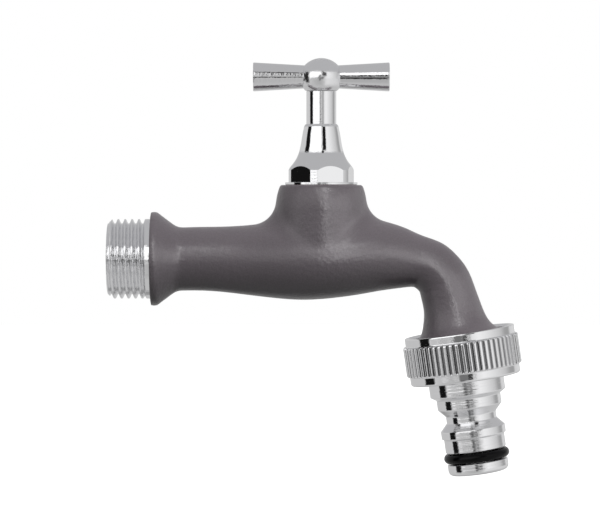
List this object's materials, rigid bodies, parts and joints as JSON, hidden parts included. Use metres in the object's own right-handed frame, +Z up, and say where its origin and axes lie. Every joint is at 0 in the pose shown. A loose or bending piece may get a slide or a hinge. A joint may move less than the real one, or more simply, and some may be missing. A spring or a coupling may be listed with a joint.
{
  "type": "garden tap",
  "caption": "Wall-mounted garden tap with a T-handle screw valve, a down-turned threaded spout and a quick-connect hose nozzle held by a ribbed union nut.",
  "frame": {"origin": "centre of the collar's back face, where the inlet thread leaves the wall fitting", "axes": "+X out from the wall along the arm, +Z up along the spindle, +Y across the tap"},
  "size_m": [0.1089, 0.0304, 0.1099],
  "materials": {
    "coated_casting": "matte powder coat with a fine orange peel",
    "chrome": "polished chrome plate",
    "brass": "machined",
    "rubber": "smooth black",
    "fibre": "pressed red fibre"
  },
  "bodies": {
    "tap": {"tap_body": "coated_casting", "bonnet": "chrome", "bonnet_gasket": "fibre"},
    "valve": {"jumper": "brass", "seat_washer": "rubber", "washer_nut": "brass"},
    "handle": {"spindle": "chrome", "lower_spindle_o_ring": "rubber", "upper_spindle_o_ring": "rubber", "t_handle": "chrome", "handle_screw": "chrome"},
    "hose_nozzle": {"nozzle": "chrome", "nozzle_o_ring": "rubber", "outlet_washer": "rubber"},
    "nut": {"union_nut": "chrome"}
  },
  "joints": [
    {"name": "valve_lift", "type": "slide", "parent": "tap", "child": "valve", "axis": [0, 0, 1], "range_m": [0, 0.0045]},
    {"name": "handle_turn", "type": "hinge", "parent": "valve", "child": "handle", "pos_m": [0.0448, 0, 0.04], "axis": [0, 0, 1], "range_deg": [0, 810]},
    {"name": "nozzle_slide", "type": "slide", "parent": "tap", "child": "hose_nozzle", "axis": [0.1426, 0, -0.9898], "range_m": [0, 0.00544]},
    {"name": "nut_turn", "type": "hinge", "parent": "hose_nozzle", "child": "nut", "pos_m": [0.0811, 0, -0.0193], "axis": [0.1426, 0, -0.9898], "range_deg": [0, 1080]}
  ],
  "couplings": [
    {"joint": "handle_turn", "follows": "valve_lift", "rad_per_m": 3141.5},
    {"joint": "nut_turn", "follows": "nozzle_slide", "rad_per_m": 3463.7}
  ]
}
